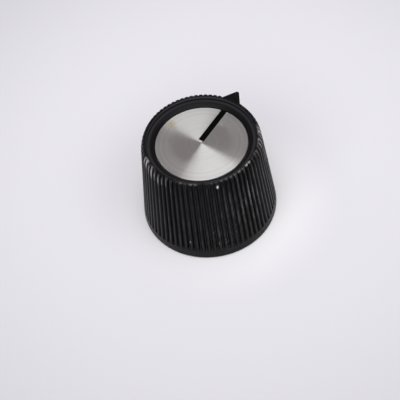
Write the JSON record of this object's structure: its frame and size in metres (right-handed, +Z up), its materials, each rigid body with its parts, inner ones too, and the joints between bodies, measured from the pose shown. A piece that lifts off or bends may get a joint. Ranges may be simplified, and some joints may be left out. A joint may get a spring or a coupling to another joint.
{
  "type": "amplifier knob",
  "caption": "Tapered fluted control knob with a pointer fin, a sunk spun aluminium inlay with a black indicator line, and a brass bush with a set screw for a round shaft.",
  "frame": {"origin": "on the shaft axis, in the plane of the base ring", "axes": "+Z up along the shaft axis towards the inlay, +Y towards the pointer, -X towards the set screw"},
  "size_m": [0.0254, 0.0254, 0.0194],
  "materials": {
    "moulding": "semi-gloss black phenolic moulding, worn on its edges",
    "bush_brass": "turned brass",
    "screw_steel": "plain steel, slightly dulled",
    "inlay_aluminium": "spun, with fine circular turning marks",
    "line_filler": "black filler paint"
  },
  "bodies": {
    "root": {"knob_body": "moulding", "shaft_bush": "bush_brass", "set_screw": "screw_steel", "inlay_disc": "inlay_aluminium", "indicator_line": "line_filler"}
  },
  "joints": []
}
